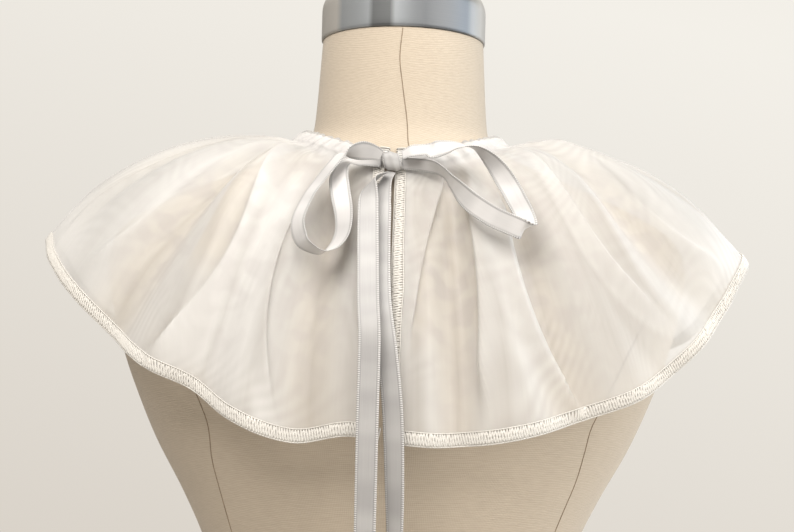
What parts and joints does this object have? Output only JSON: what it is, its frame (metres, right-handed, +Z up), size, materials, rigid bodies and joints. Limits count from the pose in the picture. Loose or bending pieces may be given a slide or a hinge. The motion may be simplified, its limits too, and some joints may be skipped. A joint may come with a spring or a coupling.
{
  "type": "ruff collar on a limbless dress form with a metal neck cap",
  "caption": "Gathered sheer ruff collar with overlocked edges, tied at the back with a satin ribbon bow, resting on a limbless linen dress form.",
  "frame": {"origin": "middle of the dress form's flat base", "axes": "+Z up, -Y towards the wearer's back where the bow is, +X towards the wearer's right hand side"},
  "size_m": [0.4678, 0.2972, 0.696],
  "materials": {
    "linen": "natural linen, plain weave, matt",
    "brushed_steel": "spun steel, satin polish",
    "organza": "sheer white organza, soft sheen, watered look where layers cross",
    "satin": "white satin ribbon with woven edges"
  },
  "bodies": {
    "root": {"form_body": "linen", "neck_cap": "brushed_steel", "neck_casing": "organza", "ruffle": "organza", "ribbon_knot": "satin", "ribbon_loop_left": "satin", "ribbon_loop_right": "satin", "ribbon_tail_left": "satin", "ribbon_tail_right": "satin"}
  },
  "joints": []
}
